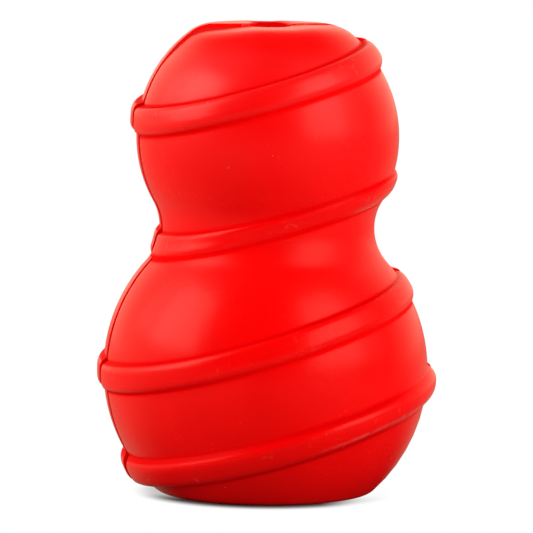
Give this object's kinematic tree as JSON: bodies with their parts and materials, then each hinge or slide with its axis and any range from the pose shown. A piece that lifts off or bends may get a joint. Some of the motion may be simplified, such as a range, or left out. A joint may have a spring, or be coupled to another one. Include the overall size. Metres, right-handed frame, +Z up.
{
  "type": "rubber chew toy",
  "caption": "Hollow stuffable rubber chew toy with a narrow waist between two round lobes, tilted ring ribs, a treat mouth in the base and a vent hole in the top.",
  "frame": {"origin": "centre of the flat base, on the surface that the toy stands on", "axes": "+Z up the toy's axis towards the vent hole; the seam lies in the plane of X and Z, with the ribs highest on the +X side; the front half is on the -Y side"},
  "size_m": [0.0796, 0.0777, 0.11],
  "materials": {
    "red_rubber": "satin, slightly dusty",
    "seam_cement": "matt, cured rubber cement"
  },
  "bodies": {
    "root": {"front_half_shell": "red_rubber", "rear_half_shell": "red_rubber", "seam_cement_left": "seam_cement", "seam_cement_right": "seam_cement"}
  },
  "joints": []
}
